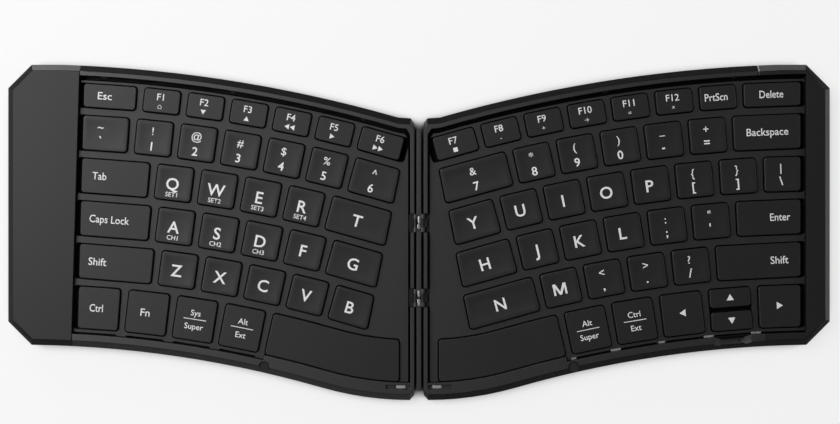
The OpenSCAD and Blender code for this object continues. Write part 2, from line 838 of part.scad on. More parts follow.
left_keys(3, [2]);  // key_s
left_keys(3, [3]);  // key_d
left_keys(3, [4]);  // key_f
left_keys(3, [5]);  // key_g
left_keys(4, [1]);  // key_z
left_keys(4, [2]);  // key_x
left_keys(4, [3]);  // key_c
left_keys(4, [4]);  // key_v
left_keys(4, [5]);  // key_b
right_keys(2, [7]);  // key_y
right_keys(2, [6]);  // key_u
right_keys(2, [5]);  // key_i
right_keys(2, [4]);  // key_o
right_keys(2, [3]);  // key_p
right_keys(3, [6]);  // key_h
right_keys(3, [5]);  // key_j
right_keys(3, [4]);  // key_k
right_keys(3, [3]);  // key_l
right_keys(4, [5]);  // key_n
right_keys(4, [4]);  // key_m
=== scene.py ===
import math

import bpy
from mathutils import Matrix, Vector


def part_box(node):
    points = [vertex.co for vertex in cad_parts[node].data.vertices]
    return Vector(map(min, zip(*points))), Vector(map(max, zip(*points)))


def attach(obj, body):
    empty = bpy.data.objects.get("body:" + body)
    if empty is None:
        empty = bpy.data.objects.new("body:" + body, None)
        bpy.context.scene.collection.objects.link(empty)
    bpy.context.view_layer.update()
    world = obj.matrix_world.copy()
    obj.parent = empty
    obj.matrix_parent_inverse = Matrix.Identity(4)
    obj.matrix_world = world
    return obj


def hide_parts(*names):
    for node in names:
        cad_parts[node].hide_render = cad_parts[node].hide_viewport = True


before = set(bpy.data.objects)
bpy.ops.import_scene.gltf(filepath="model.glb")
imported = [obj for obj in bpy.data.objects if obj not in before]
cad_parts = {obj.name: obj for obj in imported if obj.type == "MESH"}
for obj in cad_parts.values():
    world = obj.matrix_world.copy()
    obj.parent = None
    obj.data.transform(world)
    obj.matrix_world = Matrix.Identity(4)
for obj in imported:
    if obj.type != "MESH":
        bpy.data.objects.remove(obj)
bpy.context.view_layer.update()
bpy.ops.object.select_all(action="DESELECT")

# The camera hangs straight above the opened keyboard, a little behind its middle, so that the
# keyboard lies in the frame as it does in the photograph.
camera_height = 0.6
seen_width = 0.34616
seen_middle = Vector((0.00041, 0.00845))
rim_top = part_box("left_rim_rail")[1].z

bpy.ops.object.camera_add(location=(*seen_middle, camera_height), rotation=(0, 0, 0))
camera = bpy.context.object
camera.data.sensor_width = 36
camera.data.lens = camera.data.sensor_width * (camera_height - rim_top) / seen_width
bpy.context.scene.camera = camera
bpy.context.scene.view_settings.view_transform = "Standard"

# The studio: a white table top that glows a little to the camera, a large soft lamp high over the left
# end, weak ones low behind and on the right, and a dim room. Shade is painted into the table's colour and
# glow: black in narrow gaps such as the hinge slits, and dimmer close round the keyboard.
floor_size = 6
floor_white = 0.85
floor_glow = 0.74
shade_reach = 0.012
shut_sky = 0.35
clear_sky = 0.7
room_strength = 0.13
lamps = {
    "left_softbox": {"at": (-0.62, 0.3, 0.85), "size": (0.8, 0.9), "watts": 10},
    "back_strip": {"at": (-0.35, 0.55, 0.2), "size": (0.3, 0.12), "watts": 1.1},
    "right_strip": {"at": (1, 0.15, 0.4), "size": (0.5, 0.25), "watts": 1.6},
}


def plain_material(name, colour, roughness):
    """A material with its Principled shader, to which the caller adds the finish."""
    material = bpy.data.materials.new(name)
    material.use_nodes = True
    shader = material.node_tree.nodes["Principled BSDF"]
    shader.inputs["Base Color"].default_value = (*colour, 1)
    shader.inputs["Roughness"].default_value = roughness
    return material, material.node_tree, shader


bpy.ops.mesh.primitive_plane_add(size=floor_size)
floor = bpy.context.object
floor.name = "table_top"
table_white, tree, shader = plain_material("table_white", (floor_white,) * 3, 0.7)
seen = tree.nodes.new("ShaderNodeLightPath")
share = tree.nodes.new("ShaderNodeMath")
share.operation = "MULTIPLY"
share.inputs[1].default_value = floor_glow
open_sky = tree.nodes.new("ShaderNodeAmbientOcclusion")
open_sky.inputs["Distance"].default_value = shade_reach
# Painted shade: an ambient-occlusion mask takes the table's colour and glow down to black in narrow gaps
# and dims them close round the keyboard.
painted_gap_shade = tree.nodes.new("ShaderNodeMapRange")
painted_gap_shade.inputs["From Min"].default_value = shut_sky
painted_gap_shade.inputs["From Max"].default_value = clear_sky
white_with_painted_shade = tree.nodes.new("ShaderNodeMix")
white_with_painted_shade.data_type = "RGBA"
white_with_painted_shade.inputs[6].default_value = (0, 0, 0, 1)
white_with_painted_shade.inputs[7].default_value = (floor_white, floor_white, floor_white, 1)
glow_with_painted_shade = tree.nodes.new("ShaderNodeMath")
glow_with_painted_shade.operation = "MULTIPLY"
glow = tree.nodes.new("ShaderNodeEmission")
glow.inputs["Strength"].default_value = 1
lit = tree.nodes.new("ShaderNodeMixShader")
tree.links.new(seen.outputs["Is Camera Ray"], share.inputs[0])
tree.links.new(share.outputs["Value"], glow_with_painted_shade.inputs[0])
tree.links.new(open_sky.outputs["AO"], painted_gap_shade.inputs["Value"])
tree.links.new(painted_gap_shade.outputs["Result"], glow_with_painted_shade.inputs[1])
tree.links.new(painted_gap_shade.outputs["Result"], white_with_painted_shade.inputs["Factor"])
tree.links.new(white_with_painted_shade.outputs[2], shader.inputs["Base Color"])
tree.links.new(glow_with_painted_shade.outputs["Value"], lit.inputs["Fac"])
tree.links.new(shader.outputs["BSDF"], lit.inputs[1])
tree.links.new(glow.outputs["Emission"], lit.inputs[2])
tree.links.new(lit.outputs["Shader"], tree.nodes["Material Output"].inputs["Surface"])
floor.data.materials.append(table_white)

room = bpy.data.worlds.new("room")
room.use_nodes = True
room.node_tree.nodes["Background"].inputs["Strength"].default_value = room_strength
room.node_tree.nodes["Background"].inputs["Color"].default_value = (1, 1, 1, 1)
bpy.context.scene.world = room

for lamp_name, lamp in lamps.items():
    aim = -Vector(lamp["at"])
    bpy.ops.object.light_add(
        type="AREA", location=lamp["at"], rotation=aim.to_track_quat("-Z", "Y").to_euler()
    )
    light = bpy.context.object
    light.name = lamp_name
    light.data.shape = "RECTANGLE"
    light.data.size, light.data.size_y = lamp["size"]
    light.data.energy = lamp["watts"]
    light.visible_camera = False

# Bottom cases: one moulded tray under each half, of black matt plastic with a fine spark grain.
# Screws from below hold the rim rails and the end pieces on them.
case_colour = (0.012, 0.012, 0.0125)
case_edge = 0.00015
edge_band = 0.001


def add_node(tree, kind, **settings):
    node = tree.nodes.new(kind)
    for key, value in settings.items():
        setattr(node, key, value)
    return node


def group_with(name, inputs, outputs):
    """A new node group with its named sockets, and its inner input and output nodes."""
    group = bpy.data.node_groups.new(name, "ShaderNodeTree")
    for socket, value in inputs.items():
        made = group.interface.new_socket(socket, in_out="INPUT", socket_type="NodeSocketFloat")
        made.default_value = value
    for socket in outputs:
        group.interface.new_socket(socket, in_out="OUTPUT", socket_type="NodeSocketFloat")
    return group, add_node(group, "NodeGroupInput"), add_node(group, "NodeGroupOutput")


def make_moulded_grain():
    """Fine etched grain of moulded plastic, and slow clouds of tone over it."""
    group, given, out = group_with(
        "moulded_grain", {"Grain scale": 2600, "Cloud scale": 45}, ["Grain", "Cloud"]
    )
    place = add_node(group, "ShaderNodeTexCoord")
    grain = add_node(group, "ShaderNodeTexNoise")
    grain.inputs["Detail"].default_value = 2
    cloud = add_node(group, "ShaderNodeTexNoise")
    cloud.inputs["Detail"].default_value = 3
    links = group.links
    links.new(place.outputs["Object"], grain.inputs["Vector"])
    links.new(place.outputs["Object"], cloud.inputs["Vector"])
    links.new(given.outputs["Grain scale"], grain.inputs["Scale"])
    links.new(given.outputs["Cloud scale"], cloud.inputs["Scale"])
    links.new(grain.outputs["Fac"], out.inputs["Grain"])
    links.new(cloud.outputs["Fac"], out.inputs["Cloud"])
    return group


def make_edge_wear():
    """A mask that is bright along the edges, broken up where hands have rubbed them."""
    group, given, out = group_with("edge_wear", {"Width": 0.0004, "Strength": 2}, ["Mask"])
    bevel = add_node(group, "ShaderNodeBevel", samples=4)
    true_normal = add_node(group, "ShaderNodeNewGeometry")
    alike = add_node(group, "ShaderNodeVectorMath", operation="DOT_PRODUCT")
    apart = add_node(group, "ShaderNodeMath", operation="SUBTRACT")
    apart.inputs[0].default_value = 1
    place = add_node(group, "ShaderNodeTexCoord")
    patches = add_node(group, "ShaderNodeTexNoise")
    patches.inputs["Scale"].default_value = 120
    broken = add_node(group, "ShaderNodeMath", operation="MULTIPLY")
    strong = add_node(group, "ShaderNodeMath", operation="MULTIPLY", use_clamp=True)
    links = group.links
    links.new(given.outputs["Width"], bevel.inputs["Radius"])
    links.new(bevel.outputs["Normal"], alike.inputs[0])
    links.new(true_normal.outputs["Normal"], alike.inputs[1])
    links.new(alike.outputs["Value"], apart.inputs[1])
    links.new(place.outputs["Object"], patches.inputs["Vector"])
    links.new(apart.outputs["Value"], broken.inputs[0])
    links.new(patches.outputs["Fac"], broken.inputs[1])
    links.new(broken.outputs["Value"], strong.inputs[0])
    links.new(given.outputs["Strength"], strong.inputs[1])
    links.new(strong.outputs["Value"], out.inputs["Mask"])
    return group


moulded_grain = make_moulded_grain()
edge_wear = make_edge_wear()


def place_group(tree, group, **values):
    node = add_node(tree, "ShaderNodeGroup", node_tree=group)
    for socket, value in values.items():
        node.inputs[socket.replace("_", " ")].default_value = value
    return node


def blend_colours(tree, mask, low, high):
    """A colour that goes from low to high, or from a linked colour to high, with a mask."""
    mix = add_node(tree, "ShaderNodeMix", data_type="RGBA")
    tree.links.new(mask, mix.inputs["Factor"])
    if isinstance(low, tuple):
        mix.inputs[6].default_value = (*low, 1)
    else:
        tree.links.new(low, mix.inputs[6])
    mix.inputs[7].default_value = (*high, 1)
    return mix.outputs[2]


def spread(tree, value, low, high):
    """A value from 0 to 1 carried over to low to high."""
    node = add_node(tree, "ShaderNodeMapRange")
    node.inputs["From Min"].default_value = 0.3
    node.inputs["From Max"].default_value = 0.7
    node.inputs["To Min"].default_value = low
    node.inputs["To Max"].default_value = high
    tree.links.new(value, node.inputs["Value"])
    return node.outputs["Result"]


def raise_grain(tree, shader, height, distance, strength=0.4):
    bump = add_node(tree, "ShaderNodeBump")
    bump.inputs["Strength"].default_value = strength
    bump.inputs["Distance"].default_value = distance
    tree.links.new(height, bump.inputs["Height"])
    tree.links.new(bump.outputs["Normal"], shader.inputs["Normal"])


def moulded_plastic(name, colour, roughness, sheen=0.5, grain=2600, wear=2.0):
    """Black moulded plastic: clouded tone, grained gloss and edges rubbed a little lighter."""
    material, tree, shader = plain_material(name, colour, roughness)
    skin = place_group(tree, moulded_grain, Grain_scale=grain)
    edges = place_group(tree, edge_wear, Strength=wear)
    darker = tuple(c * 0.8 for c in colour)
    lighter = tuple(c * 1.25 for c in colour)
    rubbed = tuple(c * 2.2 + 0.006 for c in colour)
    toned = blend_colours(tree, skin.outputs["Cloud"], darker, lighter)
    tree.links.new(
        blend_colours(tree, edges.outputs["Mask"], toned, rubbed), shader.inputs["Base Color"]
    )
    tree.links.new(
        spread(tree, skin.outputs["Grain"], roughness - 0.07, roughness + 0.07),
        shader.inputs["Roughness"],
    )
    shader.inputs["Specular IOR Level"].default_value = sheen
    raise_grain(tree, shader, skin.outputs["Grain"], 0.00003)
    return material


def open_piece(piece):
    """Goes into edit mode on one piece, with nothing selected."""
    bpy.ops.object.select_all(action="DESELECT")
    bpy.context.view_layer.objects.active = piece
    piece.select_set(True)
    bpy.ops.object.mode_set(mode="EDIT")
    bpy.ops.mesh.select_mode(type="VERT")
    bpy.ops.mesh.select_all(action="DESELECT")
    bpy.ops.object.mode_set(mode="OBJECT")


def pick_edges(piece, wanted):
    """Selects the edges for which wanted(edge, its two ends, its faces' normals) holds."""
    open_piece(piece)
    mesh = piece.data
    normals = {}
    for face in mesh.polygons:
        for key in face.edge_keys:
            normals.setdefault(key, []).append(face.normal.copy())
    for edge in mesh.edges:
        ends = [mesh.vertices[i].co for i in edge.vertices]
        edge.select = wanted(ends, normals.get(edge.key, []))
    bpy.context.tool_settings.mesh_select_mode = (False, True, False)
    bpy.ops.object.mode_set(mode="EDIT")


def pick_faces(piece, wanted):
    """Selects the faces for which wanted(face) holds, and stays in edit mode."""
    open_piece(piece)
    for face in piece.data.polygons:
        face.select = wanted(face)
    bpy.context.tool_settings.mesh_select_mode = (False, False, True)
    bpy.ops.object.mode_set(mode="EDIT")


def copy_of(node, name):
    """A copy of a CAD node as a piece of its own, with its triangles welded into whole faces."""
    piece = bpy.data.objects.new(name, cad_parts[node].data.copy())
    bpy.context.collection.objects.link(piece)
    piece.data.materials.clear()
    open_piece(piece)
    bpy.ops.mesh.customdata_custom_splitnormals_clear()
    bpy.ops.object.mode_set(mode="EDIT")
    bpy.ops.mesh.select_all(action="SELECT")
    bpy.ops.mesh.remove_doubles(threshold=1e-6)
    bpy.ops.mesh.dissolve_limited(angle_limit=math.radians(0.5))
    bpy.ops.object.mode_set(mode="OBJECT")
    return piece


def sharp(normals, least=25):
    return len(normals) == 2 and normals[0].angle(normals[1], 0) > math.radians(least)


def round_edges(piece, wanted, width, steps=2):
    """Bevels the sharp edges for which wanted(ends, normals) holds."""
    pick_edges(piece, lambda ends, normals: sharp(normals) and wanted(ends, normals))
    bpy.ops.mesh.bevel(offset=width, segments=steps, affect="EDGES", clamp_overlap=False)
    bpy.ops.object.mode_set(mode="OBJECT")


def finish_piece(piece, material, body, slot_name, *nodes, smooth=30):
    """Shades a piece, gives it its material, ties it to its body and hides the CAD nodes it stands for.
    The slot name is not used.
    """
    bpy.ops.object.select_all(action="DESELECT")
    bpy.context.view_layer.objects.active = piece
    piece.select_set(True)
    bpy.ops.object.shade_smooth_by_angle(angle=math.radians(smooth))
    flat_faces = piece.modifiers.new("flat_faces", "WEIGHTED_NORMAL")
    flat_faces.keep_sharp = True
    bpy.ops.object.modifier_apply(modifier=flat_faces.name)
    piece.select_set(False)
    if material:
        piece.data.materials.clear()
        piece.data.materials.append(material)
    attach(piece, body)
    if nodes:
        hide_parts(*nodes)


case_black = moulded_plastic("case_black", case_colour, 0.5)
case_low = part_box("left_bottom_case")[0].z
for side in ("left", "right"):
    tray = copy_of(side + "_bottom_case", side + "_case_tray")
    round_edges(tray, lambda ends, normals: max(p.z for p in ends) < case_low + edge_band, case_edge)
    finish_piece(tray, case_black, side + "_half", "case_black", side + "_bottom_case")

# Feet: eight round pads of soft black rubber, glued into shallow seats in the trays, and one round
# bumper in each front rail. Their rims are rounded and a little polished by the desk.
desk_reach = 0.0001
foot_edge = 0.0003
bumper_low = 0.0075
bumper_edge = 0.0002
foot_rubber = moulded_plastic("foot_rubber", (0.014, 0.014, 0.014), 0.75, sheen=0.3, grain=1500, wear=1)
for side in ("left", "right"):
    pads = copy_of(side + "_feet", side + "_rubber_feet")
    round_edges(pads, lambda ends, normals: max(p.z for p in ends) < desk_reach, foot_edge, 3)
    round_edges(pads, lambda ends, normals: min(p.z for p in ends) > bumper_low, bumper_edge)
    finish_piece(pads, foot_rubber, side + "_half", "foot_rubber", side + "_feet")

# Screws: small black-zinc machine screws from below, and flat ones on the hinge leaves. The closing
# magnets are nickel-plated discs pressed into the end pieces.


def brushed_metal(name, colour, roughness, scratch=(900, 60, 900), depth=0.000004):
    """Metal with fine drawn lines and slightly uneven gloss."""
    material, tree, shader = plain_material(name, colour, roughness)
    shader.inputs["Metallic"].default_value = 1
    place = add_node(tree, "ShaderNodeTexCoord")
    drawn = add_node(tree, "ShaderNodeMapping")
    drawn.inputs["Scale"].default_value = scratch
    lines = add_node(tree, "ShaderNodeTexNoise")
    lines.inputs["Scale"].default_value = 1
    lines.inputs["Detail"].default_value = 4
    tree.links.new(place.outputs["Object"], drawn.inputs["Vector"])
    tree.links.new(drawn.outputs["Vector"], lines.inputs["Vector"])
    tree.links.new(
        spread(tree, lines.outputs["Fac"], roughness * 0.7, roughness * 1.35),
        shader.inputs["Roughness"],
    )
    darker = tuple(c * 0.8 for c in colour)
    tree.links.new(
        blend_colours(tree, lines.outputs["Fac"], darker, colour), shader.inputs["Base Color"]
    )
    raise_grain(tree, shader, lines.outputs["Fac"], depth)
    return material


def repaint(node, material):
    """Gives a CAD node that stays a finish of its own."""
    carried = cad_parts[node]
    carried.data.materials.clear()
    carried.data.materials.append(material)


black_zinc = brushed_metal("black_zinc", (0.09, 0.09, 0.1), 0.35)
nickel = brushed_metal("magnet_nickel", (0.66, 0.64, 0.6), 0.2, scratch=(400, 400, 400))
for side in ("left", "right"):
    repaint(side + "_screws", black_zinc)
    repaint(side + "_magnets", nickel)

# Electronics in the left end: a flat pouch cell, a small green board with its chips, the charging
# socket's drawn steel shell and the power switch's ribbed black knob.
foil = brushed_metal("cell_foil", (0.62, 0.62, 0.6), 0.38, scratch=(120, 120, 400), depth=0.00002)
socket_steel = brushed_metal("socket_steel", (0.6, 0.6, 0.62), 0.25)
board_green = moulded_plastic("solder_mask", (0.012, 0.075, 0.03), 0.35, grain=900, wear=0.5)
knob_black = moulded_plastic("knob_black", (0.02, 0.02, 0.02), 0.5)
repaint("battery", foil)
repaint("controller_board", board_green)
repaint("charging_socket", socket_steel)
repaint("power_switch", knob_black)

# Under the keys of each half: a stamped black steel plate, a printed black contact film, and black
# rubber domes with scissor links. A key's press squeezes them, so they are drawn as low as a fully
# pressed cap leaves them.
pressed_share = 0.54
# The plate's and the film's colours are far darker than their black finish: painted shade for the grooves
# where they show.
plate_steel = brushed_metal("plate_steel", (0.012, 0.012, 0.0125), 0.55, scratch=(60, 900, 900))
film = moulded_plastic("contact_film", (0.0015, 0.0015, 0.0015), 0.7, sheen=0.1, grain=500, wear=0)
dome_black = moulded_plastic("dome_rubber", (0.004, 0.004, 0.004), 0.7, sheen=0.15, wear=0.2)
for side in ("left", "right"):
    repaint(side + "_support_plate", plate_steel)
    repaint(side + "_membrane", film)
    domes = copy_of(side + "_key_switches", side + "_domes_and_links")
    foot = Matrix.Translation((0, 0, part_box(side + "_key_switches")[0].z))
    domes.data.transform(foot @ Matrix.Diagonal((1, 1, pressed_share, 1)) @ foot.inverted())
    finish_piece(domes, dome_black, side + "_half", "switch_rubber", side + "_key_switches")

# Hinge: a slim black die-cast spine with two blackened steel pins at each of its two stations. A steel
# leaf on each half turns on its pin, so each half folds up by a right angle.
spine_half = 0.001
spine_bar_top = 0.0074
spine_edge = 0.0003
bright_steel = brushed_metal("rivet_steel", (0.72, 0.72, 0.73), 0.25)
pin_steel = brushed_metal("pin_steel", (0.06, 0.06, 0.062), 0.35)
leaf_steel = brushed_metal("leaf_steel", (0.035, 0.035, 0.036), 0.45)
spine_black = moulded_plastic("spine_black", (0.02, 0.02, 0.021), 0.4, sheen=0.6, wear=3)
spine_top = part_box("hinge_spine")[1].z
spine_bar = copy_of("hinge_spine", "hinge_spine_bar")
round_edges(
    spine_bar,
    lambda ends, normals: abs(ends[0].x - ends[1].x) < 1e-6
    and min(p.z for p in ends) > spine_bar_top
    and abs(abs(ends[0].x) - spine_half) < 1e-5,
    spine_edge,
)
finish_piece(spine_bar, spine_black, "spine", "spine_black", "hinge_spine")
repaint("hinge_pins", pin_steel)
for side in ("left", "right"):
    repaint(side + "_hinge_leaves", leaf_steel)

# Small bright steel parts that show among the black ones: two flat rivets at each station of the spine,
# a clip in the pocket at the hinge end of each front rail, and tongues of the right key plate, which
# hook over the frame's front edge.
edge_curl = 0.00012
fan_centre = Vector((0.1661, -0.5017))
front_row_r = 0.4714
tongue_r = 0.46105
tongue_z = 0.00685
rivet_thick = 0.0004
rivet_lift = 0.0001
rivets = [
    (0.0001, 0.0051, 0.001, 0.0032), (0, 0.0023, 0.0012, 0.0019),
    (0, -0.0253, 0.001, 0.0026), (0, -0.0289, 0.0012, 0.0028),
]
clip_place = Vector((0.00745, -0.0637, 0.00755))
clip_size = (0.0037, 0.0014, 0.0003)
tongue_deep = 0.0009
tongue_thick = 0.0003
tongues = [(0.0274, 0.0041), (0.0474, 0.0041), (0.0675, 0.0026), (0.0871, 0.0041), (0.1052, 0.002)]


def steel_chip(size, place):
    """A small flat steel part with curled edges, laid at its place."""
    bpy.ops.mesh.primitive_cube_add(size=1)
    chip = bpy.context.object
    chip.data.transform(Matrix.Diagonal((*size, 1)))
    pick_edges(chip, lambda ends, normals: True)
    bpy.ops.mesh.bevel(offset=edge_curl, segments=2, affect="EDGES")
    bpy.ops.object.mode_set(mode="OBJECT")
    chip.data.transform(place)
    return chip


def join_chips(chips, name):
    bpy.ops.object.select_all(action="DESELECT")
    for chip in chips:
        chip.select_set(True)
    bpy.context.view_layer.objects.active = chips[0]
    bpy.ops.object.join()
    chips[0].name = name
    return chips[0]


dull_steel = brushed_metal("tongue_steel", (0.5, 0.5, 0.51), 0.45)
spine_rivets = join_chips(
    [
        steel_chip((wide, long, rivet_thick), Matrix.Translation((x, y, spine_top + rivet_lift)))
        for x, y, wide, long in rivets
    ],
    "spine_rivets",
)
finish_piece(spine_rivets, bright_steel, "spine", "steel")
for side, sign in (("left", -1), ("right", 1)):
    at = Matrix.Translation((sign * clip_place.x, clip_place.y, clip_place.z))
    clip = steel_chip(clip_size, at)
    clip.name = side + "_corner_clip"
    finish_piece(clip, dull_steel, side + "_half", "steel")
placed_tongues = []
for along, wide in tongues:
    turn = along / front_row_r
    spot = Matrix.Translation((
        fan_centre.x - tongue_r * math.sin(turn), fan_centre.y + tongue_r * math.cos(turn), tongue_z
    ))
    placed_tongues.append(
        steel_chip((wide, tongue_deep, tongue_thick), spot @ Matrix.Rotation(turn, 4, "Z"))
    )
finish_piece(join_chips(placed_tongues, "right_plate_tongues"), dull_steel, "right_half", "steel")

# Key frames: the deck of each half, a moulded web between the caps with one well for each key. Its
# top edges are softly rounded.
web_edge = 0.00015
deck_black = moulded_plastic("deck_black", (0.0115, 0.0115, 0.012), 0.5, sheen=0.5, grain=3000, wear=1.4)
deck_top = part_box("right_key_frame")[1].z
for side in ("left", "right"):
    web = copy_of(side + "_key_frame", side + "_key_web")
    round_edges(web, lambda ends, normals: min(p.z for p in ends) > deck_top - 1e-5, web_edge)
    finish_piece(web, deck_black, side + "_half", "deck_black", side + "_key_frame")

# Key caps: thin shells of black plastic with rounded top edges. Letter and number caps are dished to
# the fingertip, and the wide keys and the top row are flat. The rows fan round one point per half.
cap_edge = 0.00035
cap_lip = 0.0008
corner_weld = 0.00025
dish_least = 4e-5
dish_steps = [(0.0005, 0.00003), (0.0007, 0.00008), (0.0009, 0.00009), (0.001, 0.00006), (0.001, 0.00003)]
cap_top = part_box("key_q")[1].z
key_black = moulded_plastic("key_black", (0.0105, 0.0105, 0.011), 0.46, sheen=0.4, grain=3200, wear=1.5)

# Each node's legends, row by row from the back, and in a row from the outer end to the hinge
key_legends = {
    "left_top_keys": [
        ["Esc", "F1", "F2", "F3", "F4", "F5", "F6"],
        ["~ `", "! 1", "@ 2", "# 3", "$ 4", "% 5", "^ 6"],
    ],
    "right_top_keys": [
        ["Delete", "PrtScn", "F12", "F11", "F10", "F9", "F8", "F7"],
        ["Backspace", "+ =", "_ -", ") 0", "( 9", "* 8", "& 7"],
    ],
    "left_modifier_keys": [["Tab"], ["Caps Lock"], ["Shift"], ["Ctrl", "Fn", "Sys/Super", "Alt/Ext"]],
    "right_edge_keys": [
        ["| \\", "} ]", "{ ["],
        ["Enter", "\" '", ": ;"],
        ["Shift", "? /", "> .", "< ,"],
        ["▶", "▲", "▼", "◀", "Ctrl/Ext", "Alt/Super"],
    ],
    "left_space_bar": [[""]],
    "right_space_bar": [[""]],
}
for letter in "qwertasdfgzxcvbyuiophjklnm":
    key_legends["key_" + letter] = [[letter.upper()]]


def side_of(point):
    return 1 if point.x > 0 else -1


def fan_place(point):
    """Distance from the half's fan centre, and the turn of a cap there, from the outer end on."""
    away = Vector((fan_centre.x - abs(point.x), point.y - fan_centre.y))
    return away.length, math.atan2(away.x, away.y)


def is_top(face):
    return face.normal.z > 0.99 and face.center.z > cap_top - 1e-5


def caps_with_legends(piece, rows):
    """Each cap's top face in one piece, with its legend."""
    tops = sorted(filter(is_top, piece.data.polygons), key=lambda f: -fan_place(f.center)[0])
    found = []
    for legends in rows:
        row, tops = tops[: len(legends)], tops[len(legends) :]
        row.sort(key=lambda f: fan_place(f.center)[1] - fan_place(f.center)[0])
        found += [(face.index, face.center.copy(), word) for face, word in zip(row, legends)]
    return found


def is_dished(legend):
    one_letter = len(legend) == 1 and legend[0] not in "▶▲▼◀"
    return one_letter or (len(legend) == 3 and legend[1] == " ")


cap_places = {}
cap_pieces = {}
for node, rows in key_legends.items():
    caps = copy_of(node, node + ("_caps" if len(rows[0]) > 1 or len(rows) > 1 else "_cap"))
    round_edges(caps, lambda ends, normals: min(p.z for p in ends) > cap_top - 1e-5, cap_edge, 3)
    placed = caps_with_legends(caps, rows)
    cap_places[node] = [(centre, legend) for _, centre, legend in placed]
    dished = {index for index, _, legend in placed if is_dished(legend)}
    if dished:
        pick_faces(caps, lambda face: face.index in dished)
        bpy.ops.mesh.inset(thickness=cap_lip, use_individual=True)
        bpy.ops.mesh.remove_doubles(threshold=corner_weld)
        bpy.ops.object.mode_set(mode="OBJECT")
        pick_faces(caps, lambda face: is_top(face) and len(face.vertices) == 4 and face.area > dish_least)
        for inwards, down in dish_steps:
            bpy.ops.mesh.inset(thickness=inwards, depth=-down, use_individual=True)
        bpy.ops.object.mode_set(mode="OBJECT")
    cap_pieces[node] = caps
    finish_piece(caps, key_black, node, "key_black", node)

# Legends: white pad print on the caps. Each line is set as text, or drawn where the face's own letter
# is too thin to embolden, laid along the row's arc, pressed onto its cap and given the ink's depth.
mm = 0.001
font_capital = 0.682
bold = 0.013
semi_bold = 0.006
ink_depth = 0.06 * mm
ink_sunk = -0.6
middle_shift = -0.6

# Height of the capitals and place of the base line for each kind of print, in millimetres
letter_line = (4.7, -2.7)
sub_line = (1.8, -5.6)
word_line = (3.0, -1.3)
over_rule = (2.3, 1.6)
under_rule = (2.3, -4.0)
side_arrow = (2.2, -0.7)
split_arrow = (2.2, -1)
sign_line = (3.1, 1.2)
underscore_line = (3.1, 2.3)
digit_line = (3.4, -5.2)
lower_sign_line = (3.4, -4.4)
top_row_line = (2.7, 0.3)
top_row_icon = (1.7, -3.2)
tilde_middle = -2.1
rule_ends = (-4.7, 4.7)
rule_thick = 0.3
second_marks = {
    "Q": "SET1", "W": "SET2", "E": "SET3", "R": "SET4", "A": "CH1", "S": "CH2", "D": "CH3",
    "F1": "⌂", "F2": "▼", "F3": "▲", "F4": "◀◀", "F5": "▶", "F6": "▶▶",
    "F7": "■", "F8": "-", "F9": "+", "F10": "→", "F11": "=", "F12": "×",
}

# Where the printed words start and end, in millimetres right of their cap's middle
word_ends = {
    "Esc": (-4.9, 0.9), "Tab": (-9.3, -3.5), "Caps Lock": (-10.5, 5.9), "Ctrl": (-3.7, 1.8),
    "Fn": (-2.7, 1.1), "Delete": (-5.3, 4.5), "PrtScn": (-5.5, 3.9), "Backspace": (-8.5, 8.7),
    "Enter": (0.5, 8.8),
}
shift_ends = {-1: (-11.3, -3.9), 1: (4.8, 12.2)}


def ink_finish():
    """Matt white ink, a little uneven where the pad pressed lighter."""
    material, tree, shader = plain_material("ink_white", (0.8, 0.8, 0.8), 0.55)
    skin = place_group(tree, moulded_grain, Grain_scale=5000, Cloud_scale=400)
    tone = blend_colours(tree, skin.outputs["Cloud"], (0.74, 0.74, 0.74), (0.9, 0.9, 0.9))
    tree.links.new(tone, shader.inputs["Base Color"])
    tree.links.new(spread(tree, skin.outputs["Grain"], 0.45, 0.65), shader.inputs["Roughness"])
    return material


def drawn_mark(points):
    """A filled flat shape from one closed outline."""
    shape = bpy.data.curves.new("mark", "CURVE")
    shape.dimensions = "2D"
    shape.fill_mode = "BOTH"
    line = shape.splines.new("POLY")
    line.points.add(len(points) - 1)
    for spot, (x, y) in zip(line.points, points):
        spot.co = (x, y, 0, 1)
    line.use_cyclic_u = True
    return shape


def letter_m():
    """M from straight strokes, as high as the face's other capitals."""
    wide, leg, fall = 0.8, 0.12, 0.17
    half, top = wide / 2, font_capital
    inner = top * 0.66
    return drawn_mark([
        (0, 0), (leg, 0), (leg, inner), (half - fall * 0.36, 0), (half + fall * 0.36, 0),
        (wide - leg, inner), (wide - leg, 0), (wide, 0), (wide, top), (wide - fall, top),
        (half, top * 0.27), (fall, top), (0, top),
    ])


def text_mark(words, weight):
    text = bpy.data.curves.new("mark", "FONT")
    text.body = words
    text.offset = weight
    text.resolution_u = 3
    return text


def lay_mark(shape, place, capital, base, ends=None, middle=middle_shift):
    """Lays one line on a cap: its capitals' height, its base line and its ends, all in millimetres."""
    mark = bpy.data.objects.new("mark", shape)
    bpy.context.collection.objects.link(mark)
    bpy.ops.object.select_all(action="DESELECT")
    bpy.context.view_layer.objects.active = mark
    mark.select_set(True)
    bpy.ops.object.convert(target="MESH")
    mark = bpy.context.object
    xs = [v.co.x for v in mark.data.vertices]
    tall = capital * mm / font_capital
    wide = tall if ends is None else (ends[1] - ends[0]) * mm / (max(xs) - min(xs))
    middle = middle if ends is None else (ends[0] + ends[1]) / 2
    set_middle = Matrix.Translation((middle * mm, base * mm, 0))
    sized = Matrix.Diagonal((wide, tall, 1, 1))
    mark.data.transform(place @ set_middle @ sized @ Matrix.Translation((-(min(xs) + max(xs)) / 2, 0, 0)))
    return mark


